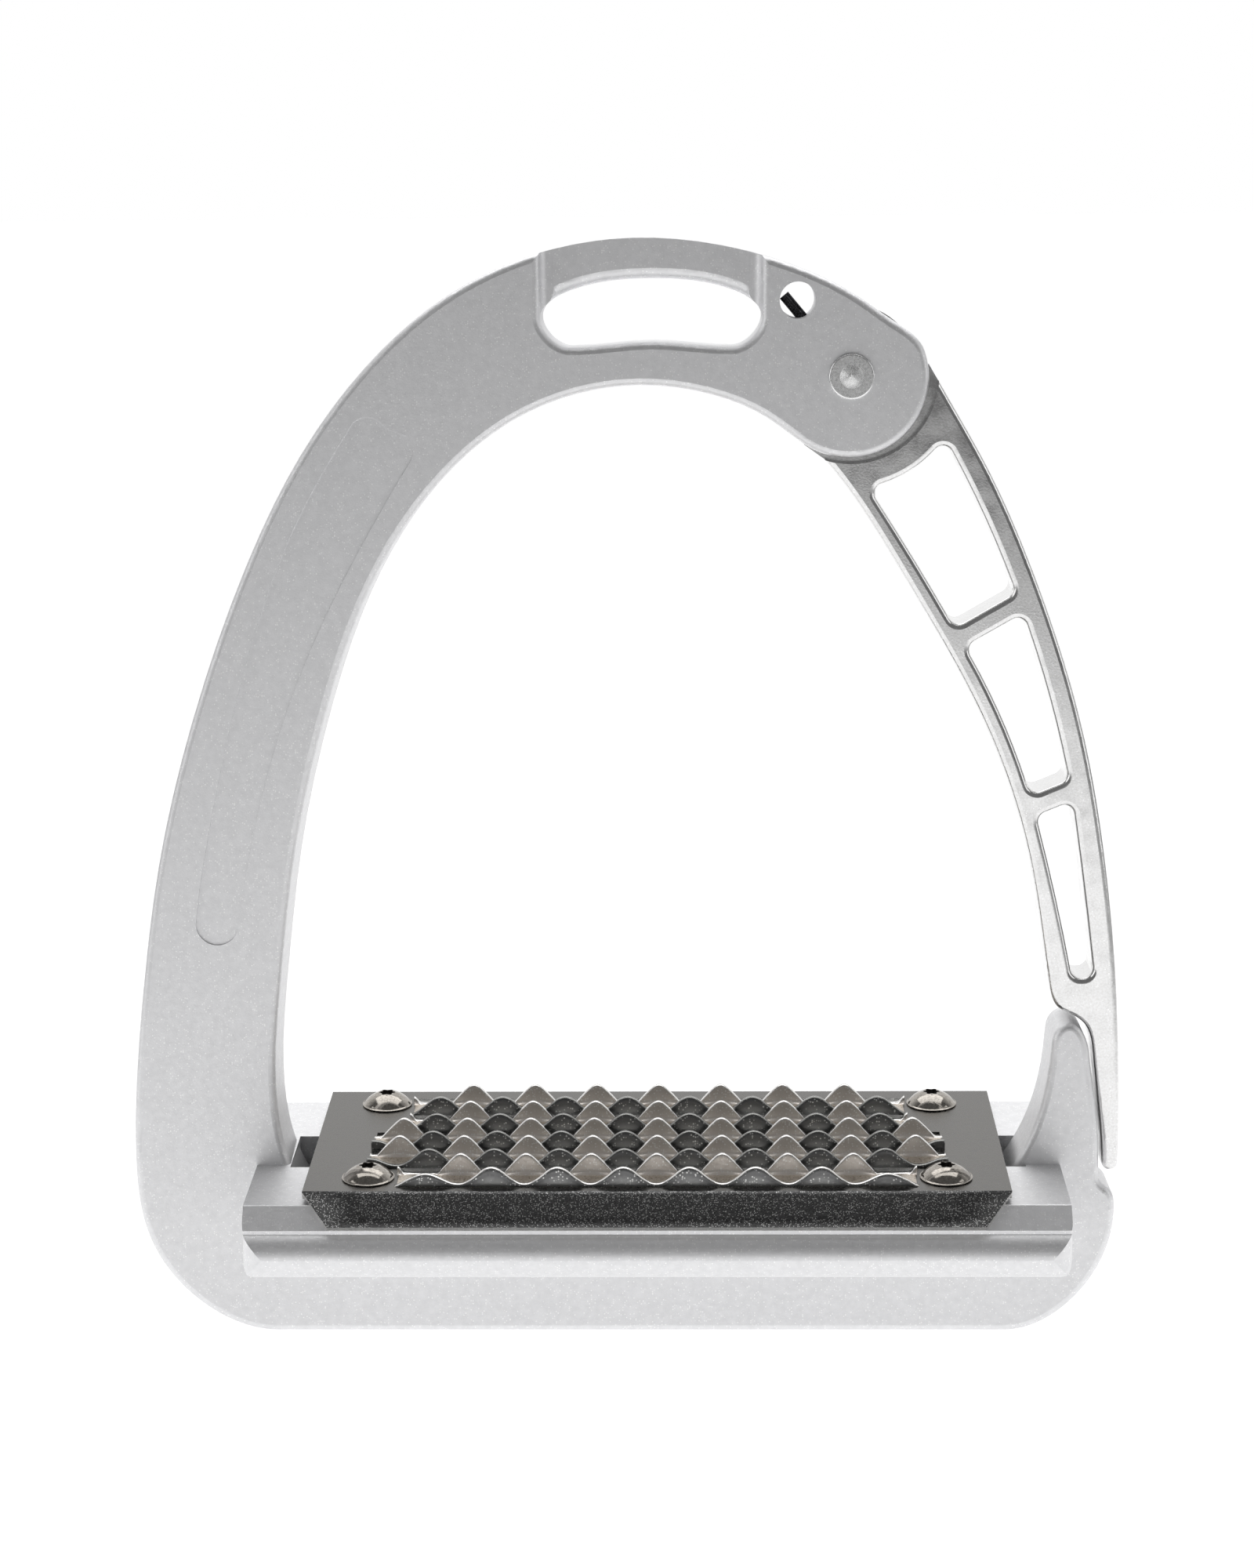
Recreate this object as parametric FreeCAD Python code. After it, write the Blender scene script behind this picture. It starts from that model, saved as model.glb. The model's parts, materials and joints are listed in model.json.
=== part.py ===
"""Safety stirrup iron: a ring frame whose outer side is a sprung release arm, hinged at the top.

Millimetres. X runs across the foot opening, towards the release arm. Y runs through the iron, from
its front face to its back. Z is up. The shapes are drawn with Z = 0 at the flat underside, and
saved with the origin where the leather bears, under the middle of the bar above the slot.
Writes one STEP file for each sub-part into parts/.
"""
import FreeCAD, Part
import math
import os

Vector = FreeCAD.Vector

# Overall sizes. The ring's outline is drawn at the drawn sizes and stretched between its zones.
iron_height = 175.0
foot_width = 120.5
drawn_height = 175.0
drawn_foot_width = 120.5
stretch_low = 50.0
stretch_high = 138.0

# Frame.
frame_depth = 12.5
edge_round = 1.1
bar_inset = 2.4
slot_half = 17.1
slot_end_r = 4.6
slot_centre_x = -0.3
slot_drop = 11.4
slot_rise = 5.2
bar_low_round = 1.6
cove_r = 2.0
recess_depth = 0.3

# Hinge. Angles are in degrees, from +X towards +Z, about the pin.
hinge_x = 30.6
hinge_drop = 21.3
boss_r = 12.3
boss_shift = 0.3
pin_r = 3.5
pin_stand = 0.8
pin_round = 0.25
pin_dimple_r = 1.85
pin_dimple_depth = 2.2
press_clear = 0.02
running_clear = 0.04
bush_wall = 1.1
washer_thick = 0.6
washer_wall = 2.2
shoulder_r = 13.6
shoulder_from = -107.0
shoulder_to = -6.0
shoulder_run = 3.0
neck_low = 236.0
neck_high = 8.0
stop_gap = 0.7
open_limit = 80.0
sweep_clear = 0.4

# Release arm.
arm_depth = 10.4
arm_round = 0.9
tip_r = 1.3
head_r = 10.8
inner_bar = 2.8
outer_bar = 3.8
cross_bar = 3.5
shoulder_bar = 3.8
window_corner = 1.6
window_round = 0.9

# Return spring.
wire_r = 0.85
coil_r = 7.4
coil_gap = 0.1
spring_side = 0.05
pocket_wall = 1.6
pocket_floor = 0.9
boss_wall = 1.0
fixed_leg_angle = 129.9
fixed_leg_end = 16.0
arm_leg_angle = 300.0
arm_leg_end = 12.0
leg_clear = 0.12
spring_hole_r = 2.85
spring_hole_reach = 14.3
spring_hole_angle = 125.2

# Tread. Its own plane leans back by tread_tilt, and u, v are along and across that plane.
tread_tilt = 4.2
tread_height = 28.4
rail_half = 24.0
chamfer_out = 2.9
chamfer_drop = 3.15
nose_r = 4.0
nose_inset = 1.9
nose_step = 0.6
tread_end = 4.25
channel_half = 7.2
channel_depth = 9.0
channel_stop = 1.2
corner_r = 3.2
tread_round = 0.4
land_height = 0.8
land_inset = 1.0

# Grip plate and its screws.
sheet = 1.2
plate_half = 55.3
plate_bend = 24.2
flange_drop = 3.9
flange_slope = 46.5
flange_clip = 3.9
tooth_pitch = 10.33
tooth_foot = 7.4
tooth_tip_r = 1.1
tooth_height = 3.0
tooth_wall = 1.0
row_pitch = 8.25
first_row = 17.2
row_land = 5.6
light_teeth = [7, 7, 9, 9, 7]
dark_teeth = 8
slot_margin = 1.0
screw_x = 45.5
screw_u = 17.3
screw_r = 2.0
screw_deep = 9.0
screw_head_r = 4.15
screw_head_height = 2.3
socket_flat = 2.5
socket_depth = 1.4
screw_hole_clear = 0.3
thread_clear = 0.03

# Values that follow from the ones above.
lift = iron_height - drawn_height
spread = (foot_width - drawn_foot_width) / 2
hinge_z = iron_height - hinge_drop
slot_z = iron_height - slot_drop
coil_turns = (arm_leg_angle - fixed_leg_angle + 360) / 360
coil_pitch = 2 * wire_r + coil_gap
tongue_depth = pocket_floor + 2 * wire_r + coil_turns * coil_pitch + 3 * spring_side
cheek_gap = tongue_depth + 2 * washer_thick + 4 * spring_side
half_frame = frame_depth / 2
half_arm = arm_depth / 2
half_tongue = tongue_depth / 2
half_gap = cheek_gap / 2
bush_r = pin_r + running_clear + bush_wall
hub_r = bush_r + boss_wall
pocket_r = head_r - pocket_wall
pin_half = half_frame + pin_stand
tread_half = foot_width / 2 + tread_end
plate_top = land_height + sheet

os.makedirs("parts", exist_ok=True)


def at(x, z, y=0.0):
    return Vector(x, y, z)


def placed(x, z):
    """A point of the drawn outline, moved with the height and the width of the iron."""
    rise = min(max((z - stretch_low) / (stretch_high - stretch_low), 0.0), 1.0)
    side = math.copysign(min(abs(x) / stretch_low, 1.0), x)
    return at(x + side * spread * (1.0 - rise), z + lift * rise)


def polar(reach, angle, y=0.0):
    """A point at an angle about the hinge pin."""
    turn = math.radians(angle)
    return at(hinge_x + reach * math.cos(turn), hinge_z + reach * math.sin(turn), y)


def heading(angle):
    turn = math.radians(angle)
    return at(math.cos(turn), math.sin(turn))


def spline_slopes(points, spans, first, last):
    """The direction at each point of a cubic spline whose end directions are given."""
    slopes = [first]
    weights = [0.0]
    for i in range(1, len(points) - 1):
        before, after = spans[i - 1], spans[i]
        pull = (points[i] - points[i - 1]) * (3 * after / before)
        pull = pull + (points[i + 1] - points[i]) * (3 * before / after)
        scale = 2 * (before + after) - after * weights[-1]
        slopes.append((pull - slopes[-1] * after) * (1 / scale))
        weights.append(before / scale)
    slopes.append(last)
    for i in range(len(points) - 2, 0, -1):
        slopes[i] = slopes[i] - slopes[i + 1] * weights[i]
    return slopes


def spline(points, start_angle, end_angle):
    """A cubic spline through the points that starts and ends at these angles."""
    spans = [(b - a).Length for a, b in zip(points, points[1:])]
    slopes = spline_slopes(points, spans, heading(start_angle), heading(end_angle))
    poles = [points[0]]
    knots = [0.0]
    for i, span in enumerate(spans):
        poles.append(points[i] + slopes[i] * (span / 3))
        poles.append(points[i + 1] - slopes[i + 1] * (span / 3))
        knots.append(knots[-1] + span)
    poles.append(points[-1])
    curve = Part.BSplineCurve()
    curve.buildFromPolesMultsKnots(poles, [4] + [2] * (len(points) - 2) + [4], knots, False, 3)
    for knot in range(len(points) - 1, 1, -1):
        curve.removeKnot(knot, 1, 1e-6)
    return curve


def line(start, end):
    return Part.LineSegment(start, end).toShape()


def arc(start, middle, end):
    return Part.Arc(start, middle, end).toShape()


def prism(edges, depth, middle=0.0):
    """A solid of this outline, with its depth spread evenly about the middle."""
    face = Part.Face(Part.Wire(edges))
    solid = face.extrude(Vector(0, depth, 0))
    solid.translate(Vector(0, middle - depth / 2, 0))
    return solid


def polygon(points):
    return [line(a, b) for a, b in zip(points, points[1:] + points[:1])]


def rod(radius, y_from, y_to, centre):
    return Part.makeCylinder(radius, y_to - y_from, Vector(centre.x, y_from, centre.z), Vector(0, 1, 0))


def sector(radius, from_angle, to_angle, depth):
    """A wedge of a disc about the hinge pin."""
    middle = (from_angle + to_angle) / 2
    start = polar(radius, from_angle)
    end = polar(radius, to_angle)
    edges = [line(polar(0, 0), start), arc(start, polar(radius, middle), end), line(end, polar(0, 0))]
    return prism(edges, depth)


def face_edges(solid, half_depth):
    """The edges that lie in the solid's front and back faces."""
    found = []
    for edge in solid.Edges:
        box = edge.BoundBox
        flat = box.YLength < 1e-4
        if flat and abs(abs(box.YMin) - half_depth) < 1e-4:
            found.append(edge)
    return found


def through_edges(solid):
    """The straight edges that run from front to back."""
    return [e for e in solid.Edges if e.BoundBox.XLength < 1e-4 and e.BoundBox.ZLength < 1e-4]


def save(shape, node):
    if not shape.isValid():
        print("not valid:", node)
    print(node, "solids", len(shape.Solids), "volume", round(shape.Volume, 1))
    shape.translate(Vector(-slot_centre_x, 0, -slot_z - slot_rise))
    shape.exportStep("parts/" + node + ".step")


def frame_blank():
    """The open ring: post, base, leg, arch and hinge boss, in one outline."""
    boss = polar(0, 0) + at(-boss_shift, -boss_shift)
    boss_low = boss + heading(235.0) * boss_r
    boss_mid = boss + heading(-52.0) * boss_r
    boss_high = boss + heading(20.0) * boss_r

    crown_points = [
        boss_high,
        polar(10.6, 53.0),
        polar(12.1, 84.0),
        polar(16.6, 109.5),
        placed(16.0, 172.5),
        placed(-1.0, 175.0),
        placed(-17.8, 172.7),
        placed(-32.2, 166.1),
        placed(-44.7, 155.4),
        placed(-55.6, 140.9),
        placed(-64.8, 122.6),
        placed(-73.0, 100.3),
        placed(-78.9, 77.7),
        placed(-82.4, 54.7),
        placed(-84.2, 30.0),
    ]
    arch_points = [
        placed(-48.0, 18.0),
        placed(-55.2, 21.6),
        placed(-59.6, 29.4),
        placed(-61.2, 39.2),
        placed(-60.0, 58.5),
        placed(-57.5, 77.6),
        placed(-52.2, 100.3),
        placed(-43.8, 122.5),
        placed(-33.9, 137.1),
        placed(-20.3, 148.0),
        placed(-2.0, 152.5),
        placed(9.0, 151.0),
        placed(16.9, 147.8),
        boss_low,
    ]
    left_corner = [placed(-84.2, 30.0), placed(-82.3, 15.6), placed(-75.2, 5.6), placed(-62.0, 0.0)]
    right_corner = [placed(56.0, 0.0), placed(69.0, 7.7), placed(73.4, 20.4)]
    ledge = [
        placed(73.4, 20.4),
        placed(73.2, 22.5),
        placed(72.3, 23.9),
        placed(71.2, 24.8),
        placed(70.8, 26.2),
    ]
    post = [
        placed(70.8, 26.2),
        placed(70.7, 31.0),
        placed(70.1, 38.0),
        placed(69.1, 45.0),
        placed(68.1, 49.2),
        placed(66.0, 51.0),
        placed(63.9, 50.1),
        placed(62.9, 46.6),
        placed(60.6, 34.8),
        placed(57.2, 27.8),
        placed(44.0, 18.0),
    ]

    edges = [
        spline(crown_points, 110.0, 270.0).toShape(),
        spline(left_corner, 270.0, 0.0).toShape(),
        line(placed(-62.0, 0.0), placed(56.0, 0.0)),
        spline(right_corner, 0.0, 90.0).toShape(),
        spline(ledge, 90.0, 90.0).toShape(),
        spline(post, 90.0, 180.0).toShape(),
        line(placed(44.0, 18.0), placed(-48.0, 18.0)),
        spline(arch_points, 180.0, 325.0).toShape(),
        arc(boss_low, boss_mid, boss_high),
    ]
    blank = prism(edges, frame_depth)
    return blank.makeFillet(edge_round, face_edges(blank, half_frame))


def leather_slot():
    """The arched slot for the stirrup leather, with a rounded rim front and back."""
    left = slot_centre_x - slot_half
    right = slot_centre_x + slot_half
    top_z = slot_z + 3.4
    low_z = slot_z - 5.3
    run = slot_half - slot_end_r
    top_left = at(slot_centre_x - run, top_z)
    top_right = at(slot_centre_x + run, top_z)
    low_left = at(slot_centre_x - run, low_z)
    low_right = at(slot_centre_x + run, low_z)
    top_middle = at(slot_centre_x, slot_z + slot_rise)
    low_middle = at(slot_centre_x, slot_z - 4.5)
    edges = [
        spline([top_right, top_middle, top_left], 160.0, 200.0).toShape(),
        spline([top_left, at(left, slot_z - 0.4), low_left], 200.0, 360.0).toShape(),
        spline([low_left, low_middle, low_right], 0.0, 0.0).toShape(),
        spline([low_right, at(right, slot_z - 0.4), top_right], 0.0, 160.0).toShape(),
    ]
    return prism(edges, frame_depth + 2)


def bar_recess(front):
    """The step back to the leather bar: a rounded edge, a wall and a cove, drawn from above."""
    floor = half_frame - bar_inset
    left = slot_centre_x - slot_half
    right = slot_centre_x + slot_half
    bow = 1 - math.sqrt(0.5)
    low_z = slot_z - 0.4

    def corner(x, side):
        """From the frame's face, outside the wall, to the bar's face."""
        lip = Vector(x + side * edge_round, half_frame, low_z)
        lip_mid = Vector(x + side * edge_round * bow, half_frame - edge_round * bow, low_z)
        wall_top = Vector(x, half_frame - edge_round, low_z)
        wall_low = Vector(x, floor + cove_r * 0.6, low_z)
        cove_mid = Vector(x - side * cove_r * bow, floor + cove_r * 0.6 * bow, low_z)
        cove_end = Vector(x - side * cove_r, floor, low_z)
        return lip, lip_mid, wall_top, wall_low, cove_mid, cove_end

    a = corner(right, 1)
    b = corner(left, -1)
    outer_right = Vector(a[0].x, half_frame + 1, low_z)
    outer_left = Vector(b[0].x, half_frame + 1, low_z)
    edges = [
        line(outer_right, a[0]),
        arc(a[0], a[1], a[2]),
        line(a[2], a[3]),
        arc(a[3], a[4], a[5]),
        line(a[5], b[5]),
        arc(b[5], b[4], b[3]),
        line(b[3], b[2]),
        arc(b[2], b[1], b[0]),
        line(b[0], outer_left),
        line(outer_left, outer_right),
    ]
    cutter = Part.Face(Part.Wire(edges)).extrude(Vector(0, 0, slot_drop + 6))
    if front:
        cutter = cutter.mirror(Vector(0, 0, 0), Vector(0, 1, 0))
    return cutter


def leg_recess():
    """The shallow blank panel sunk in the face of the leg."""
    outer = [
        placed(-46.6, 147.0),
        placed(-57.0, 128.9),
        placed(-65.3, 105.6),
        placed(-70.9, 82.0),
        placed(-73.3, 67.6),
    ]
    inner = [
        placed(-66.5, 67.6),
        placed(-62.0, 89.0),
        placed(-53.2, 113.2),
        placed(-42.4, 133.4),
        placed(-37.6, 141.2),
    ]
    top = [
        placed(-37.6, 141.2),
        placed(-37.6, 144.3),
        placed(-41.0, 146.0),
        placed(-43.4, 147.7),
        placed(-46.6, 147.0),
    ]
    edges = [
        spline(outer, 236.0, 264.0).toShape(),
        arc(placed(-73.3, 67.6), placed(-69.9, 64.2), placed(-66.5, 67.6)),
        spline(inner, 80.0, 57.0).toShape(),
        spline(top, 70.0, 226.0).toShape(),
    ]
    return prism(edges, recess_depth, -half_frame + recess_depth / 2)


def slot_edges(body, half_depth, low_z, high_z):
    """The long edges around the slot that lie in one pair of faces, between two heights."""
    found = []
    for edge in face_edges(body, half_depth):
        box = edge.BoundBox
        reach = max(abs(box.XMin - slot_centre_x), abs(box.XMax - slot_centre_x))
        if reach < slot_half + 1 and box.ZMin > low_z and box.ZMax < high_z and box.XLength > 2:
            found.append(edge)
    return found


def slotted_frame():
    """The ring with the leather slot cut, its rim rounded, and the bar above it set back."""
    body = frame_blank().cut(leather_slot())
    body = body.makeFillet(edge_round, slot_edges(body, half_frame, slot_z - 8, slot_z + 6))
    body = body.cut(bar_recess(True)).cut(bar_recess(False))
    half_bar = half_frame - bar_inset
    return body.makeFillet(bar_low_round, slot_edges(body, half_bar, slot_z - 1, slot_z + 6))


def on_tread(shape):
    """Turns a shape drawn with Y, Z as u, v onto the leaning tread."""
    shape.rotate(Vector(0, 0, 0), Vector(1, 0, 0), tread_tilt)
    shape.translate(Vector(0, 0, tread_height))
    return shape


def rail_side(side, half):
    """One long side of the tread's section: chamfer, step and round nose, from the top down."""
    foot_u = rail_half + chamfer_out
    nose_u = foot_u - nose_inset
    rise = math.sqrt(nose_r ** 2 - nose_inset ** 2)
    nose_v = -chamfer_drop - nose_step - rise
    crease = Vector(-half, side * rail_half, 0)
    foot = Vector(-half, side * foot_u, -chamfer_drop)
    ledge = Vector(-half, side * foot_u, -chamfer_drop - nose_step)
    front = Vector(-half, side * (nose_u + nose_r), nose_v)
    under = Vector(-half, side * nose_u, nose_v - nose_r)
    return crease, foot, ledge, front, under


def tread_block():
    """Both rails in one block, with a channel between them."""
    half = tread_half
    near = rail_side(-1, half)
    far = rail_side(1, half)
    edges = [
        line(far[0], near[0]),
        line(near[0], near[1]),
        line(near[1], near[2]),
        arc(near[2], near[3], near[4]),
        line(near[4], far[4]),
        arc(far[4], far[3], far[2]),
        line(far[2], far[1]),
        line(far[1], far[0]),
    ]
    block = Part.Face(Part.Wire(edges)).extrude(Vector(2 * half, 0, 0))
    reach = near[3].y
    bottom = near[4].z

    plan = Part.makeBox(2 * half, -2 * reach, 40, Vector(-half, reach, -20))
    plan = plan.makeFillet(corner_r, [e for e in plan.Edges if e.BoundBox.ZLength > 39])
    profile = Part.makeBox(2 * half, -2 * reach, 20 - bottom, Vector(-half, reach, bottom))
    ends = [e for e in profile.Edges if e.BoundBox.YLength > 1 and e.BoundBox.ZMax < bottom + 1]
    profile = profile.makeFillet(corner_r, ends)
    block = block.common(plan).common(profile)

    channel_x = foot_width / 2 - channel_stop
    channel = Part.makeBox(2 * channel_x, 2 * channel_half, channel_depth + 1)
    channel.translate(Vector(-channel_x, -channel_half, -channel_depth))
    land_x = plate_half - land_inset
    land = Part.makeBox(2 * land_x, 2 * (rail_half - land_inset), land_height)
    land.translate(Vector(-land_x, -(rail_half - land_inset), 0))
    creases = [e for e in block.Edges if e.BoundBox.XLength > half and abs(e.BoundBox.ZMin) < 0.01]
    block = block.makeFillet(tread_round, creases)
    return on_tread(block.fuse(land).cut(channel))


def screw_places():
    places = []
    for side, end in ((-1, "left"), (1, "right")):
        for deep, row in ((-1, "front"), (1, "rear")):
            places.append((row + "_" + end, side * screw_x, deep * screw_u))
    return places


def main_frame():
    body = slotted_frame().fuse(tread_block())
    body = body.cut(leg_recess())

    arc_from = neck_low - stop_gap
    arc_to = 360 + neck_high + open_limit + stop_gap
    wide = sector(shoulder_r + sweep_clear, arc_from, arc_to, cheek_gap)
    if arc_to - arc_from > 180:
        half_way = (arc_from + arc_to) / 2
        wide = sector(shoulder_r + sweep_clear, arc_from, half_way, cheek_gap)
        wide = wide.fuse(sector(shoulder_r + sweep_clear, half_way, arc_to, cheek_gap))
    narrow = rod(head_r + sweep_clear, -half_gap, half_gap, polar(0, 0))
    body = body.cut(wide.fuse(narrow))
    body = body.cut(rod(pin_r + press_clear, -frame_depth, frame_depth, polar(0, 0)))

    hole_centre = polar(spring_hole_reach, spring_hole_angle)
    body = body.cut(rod(spring_hole_r, -frame_depth, frame_depth, hole_centre))
    leg_start = polar(head_r - 1, fixed_leg_angle, fixed_leg_y())
    leg_run = spring_hole_reach - head_r + 1
    leg = Part.makeCylinder(wire_r + leg_clear, leg_run, leg_start, heading(fixed_leg_angle))
    body = body.cut(leg)

    for name, x, u in screw_places():
        hole = Part.makeCylinder(screw_r + thread_clear, screw_deep + 1, Vector(x, u, -screw_deep))
        body = body.cut(on_tread(hole))
    return body


def arm_edges():
    """The long outside and inside edges of the release arm."""
    outside = spline(
        [
            placed(44.8, 151.8),
            placed(51.4, 140.3),
            placed(59.6, 122.0),
            placed(66.8, 99.8),
            placed(71.1, 77.3),
            placed(73.4, 54.4),
            placed(74.0, 30.5),
        ],
        300.0,
        270.0,
    )
    inside = spline(
        [
            polar(shoulder_r, shoulder_from),
            placed(39.2, 122.1),
            placed(51.6, 99.8),
            placed(59.2, 77.3),
            placed(62.4, 57.8),
        ],
        311.0,
        279.0,
    )
    return outside, inside


def offset_points(curve, distance, count):
    """Points beside a curve, on its left as it runs."""
    points = []
    for i in range(count):
        p = curve.FirstParameter + (curve.LastParameter - curve.FirstParameter) * i / (count - 1)
        along = curve.tangent(p)[0]
        points.append(curve.value(p) + Vector(-along.z, 0, along.x) * distance)
    return points


def trued_outline(window):
    """The window's outline with each side as a single arc or line, in the middle plane."""
    front = min(window.Faces, key=lambda face: face.CenterOfMass.y)
    edges = []
    for edge in front.OuterWire.OrderedEdges:
        ends = [edge.valueAt(edge.FirstParameter), edge.valueAt(edge.LastParameter)]
        middle = edge.valueAt((edge.FirstParameter + edge.LastParameter) / 2)
        start, middle, end = (at(p.x, p.z) for p in (ends[0], middle, ends[1]))
        straight = middle.distanceToLine(start, end - start) < 0.01
        edges.append(line(start, end) if straight else arc(start, middle, end))
    return Part.__sortEdges__(edges)


def window_rims(body):
    """The edges of every opening in the body's front and back faces."""
    rims = []
    for face in body.Faces:
        box = face.BoundBox
        if box.YLength < 1e-4 and abs(abs(box.YMin) - half_arm) < 1e-4:
            for wire in face.Wires:
                if not wire.isSame(face.OuterWire):
                    rims.extend(wire.Edges)
    return rims


def arm_windows():
    """Three windows between the long bars, parted by two cross bars."""
    outside, inside = arm_edges()
    right = offset_points(outside, -outer_bar, 9)
    left = offset_points(inside, inner_bar, 9)
    right = [p for p in right if p.z > placed(0, 56.0).z]
    left = [p for p in left if p.z > placed(0, 56.0).z]
    foot_right = placed(69.6, 58.2)
    foot_left = placed(66.2, 58.2)
    right.append(foot_right)
    left.append(foot_left)
    right_edge = Part.BSplineCurve()
    right_edge.interpolate(right)
    left_edge = Part.BSplineCurve()
    left_edge.interpolate(left)
    strip = prism(
        [
            right_edge.toShape(),
            line(foot_right, foot_left),
            left_edge.toShape(),
            line(left[0], right[0]),
        ],
        arm_depth + 2,
    )
    strip = strip.cut(rod(shoulder_r + shoulder_bar, -frame_depth, frame_depth, polar(0, 0)))
    cross_bars = ((placed(47.2, 112.6), placed(58.2, 118.9)), (placed(58.4, 85.6), placed(67.2, 89.2)))
    for low, high in cross_bars:
        along = (high - low).normalize()
        across = Vector(-along.z, 0, along.x) * (cross_bar / 2)
        start = low - along * 6
        end = high + along * 6
        bar = polygon([start - across, end - across, end + across, start + across])
        strip = strip.cut(prism(bar, arm_depth + 4))
    windows = []
    for window in strip.Solids:
        trued = prism(trued_outline(window), arm_depth + 2)
        windows.append(trued.makeFillet(window_corner, through_edges(trued)))
    return windows


def arm_body():
    """The long flat arm: rounded along its edges, then hollowed at the shoulder for the boss."""
    outside, inside = arm_edges()
    outside_root = outside.StartPoint + heading(120.0) * shoulder_run
    inside_root = inside.StartPoint + heading(131.0) * shoulder_run
    tip = placed(72.65, 27.9)
    lip = [
        tip + at(-tip_r, 0),
        placed(70.8, 36.0),
        placed(69.7, 46.0),
        placed(68.5, 50.4),
        placed(66.4, 52.1),
        placed(64.1, 53.3),
        placed(62.9, 55.3),
        inside.EndPoint,
    ]
    edges = [
        line(outside_root, outside.StartPoint),
        outside.toShape(),
        line(outside.EndPoint, tip + at(tip_r, 0)),
        arc(tip + at(tip_r, 0), tip + at(0, -tip_r), tip + at(-tip_r, 0)),
        spline(lip, 90.0, 99.0).toShape(),
        inside.toShape(),
        line(inside.StartPoint, inside_root),
        line(inside_root, outside_root),
    ]
    body = prism(Part.__sortEdges__(edges), arm_depth)
    root = (inside_root + outside_root) * 0.5
    rims = [e for e in face_edges(body, half_arm) if (e.CenterOfMass - root).cross(at(0, 0, 1)).Length > 1.0]
    body = body.makeFillet(arm_round, rims)
    body = body.cut(rod(shoulder_r, -half_frame, half_frame, polar(0, 0)))
    for window in arm_windows():
        body = body.cut(window)
    return body.makeFillet(window_round, window_rims(body))


def fixed_leg_y():
    return half_tongue - pocket_floor - wire_r - spring_side


def arm_leg_y():
    return fixed_leg_y() - coil_pitch * coil_turns


def arm_head():
    """The thin head about the pin, with the neck that joins it to the arm."""
    neck = [
        polar(0, 0),
        polar(head_r, neck_high),
        polar(12.2, neck_high),
        placed(44.8, 151.8),
        polar(shoulder_r + 2, shoulder_to - 12),
        polar(shoulder_r + 2, (shoulder_from + shoulder_to) / 2),
        polar(shoulder_r + 2, shoulder_from + 14),
        polar(shoulder_r, shoulder_from),
        polar(12.9, neck_low),
        polar(head_r, neck_low),
    ]
    disc = rod(head_r, -half_tongue, half_tongue, polar(0, 0))
    return disc.fuse(prism(polygon(neck), tongue_depth))


def spring_pocket():
    """The ring-shaped pocket for the coil, the window the fixed leg passes, and the arm leg's groove."""
    pocket = rod(pocket_r, -half_arm, half_tongue - pocket_floor, polar(0, 0))
    pocket = pocket.cut(rod(hub_r, -half_frame, half_frame, polar(0, 0)))

    spare = 12.0
    rim = sector(head_r + 1, fixed_leg_angle - open_limit - spare, fixed_leg_angle + spare, arm_depth)
    rim = rim.cut(rod(pocket_r - 0.5, -half_frame, half_frame, polar(0, 0)))
    rim.translate(Vector(0, half_tongue - pocket_floor - half_arm, 0))

    groove_r = wire_r + leg_clear
    reach = arm_leg_end + leg_clear - coil_r
    deep = arm_leg_y() + groove_r + half_arm
    groove = Part.makeBox(reach, deep, 2 * groove_r, Vector(coil_r, -half_arm, -groove_r))
    groove.rotate(Vector(0, 0, 0), Vector(0, 1, 0), -arm_leg_angle)
    groove.translate(polar(0, 0))
    return pocket.fuse([rim, groove])


def release_arm():
    """The windowed arm with its thinner head, which turns between the frame's cheeks."""
    body = arm_body().fuse(arm_head())
    body = body.cut(spring_pocket())
    return body.cut(rod(bush_r + press_clear, -half_frame, half_frame, polar(0, 0)))


def spring_leg(angle, y, reach):
    """A straight leg that leaves the coil square to the pin, and a ball for the bend."""
    start = polar(coil_r, angle, y)
    leg = Part.makeCylinder(wire_r, reach - coil_r, start, heading(angle))
    return [leg, Part.makeSphere(wire_r, start)]


def return_spring():
    """A torsion spring about the pin, with one leg in the frame and one in the arm's head."""
    path = Part.Wire(Part.makeHelix(coil_pitch, coil_pitch * coil_turns, coil_r))
    ring = Part.Wire(Part.makeCircle(wire_r, Vector(coil_r, 0, 0), Vector(0, 1, 0)))
    coil = path.makePipeShell([ring], True, True)
    coil.rotate(Vector(0, 0, 0), Vector(1, 0, 0), 90)
    coil.rotate(Vector(0, 0, 0), Vector(0, 1, 0), -fixed_leg_angle)
    coil.translate(polar(0, 0, fixed_leg_y()))
    frame_leg = spring_leg(fixed_leg_angle, fixed_leg_y(), fixed_leg_end)
    arm_leg = spring_leg(arm_leg_angle, arm_leg_y(), arm_leg_end)
    return coil.fuse(frame_leg + arm_leg)


def hinge_pin():
    """The pin, with a rolled rim and a drilled dimple at each end."""
    pin = rod(pin_r, -pin_half, pin_half, polar(0, 0))
    rims = [e for e in pin.Edges if e.BoundBox.YLength < 1e-4]
    pin = pin.makeFillet(pin_round, rims)
    for side in (-1, 1):
        end = polar(0, 0, side * pin_half)
        inward = Vector(0, -side, 0)
        dimple = Part.makeCylinder(pin_dimple_r, pin_dimple_depth, end, inward)
        floor = end + inward * pin_dimple_depth
        cone = Part.makeCone(pin_dimple_r, 0, pin_dimple_r * 0.6, floor, inward)
        pin = pin.cut(dimple).cut(cone)
    return pin


def hinge_bush():
    """The plain bush pressed into the arm's head, which turns on the pin."""
    outer = rod(bush_r, -half_tongue, half_tongue, polar(0, 0))
    return outer.cut(rod(pin_r + running_clear, -half_frame, half_frame, polar(0, 0)))


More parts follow.
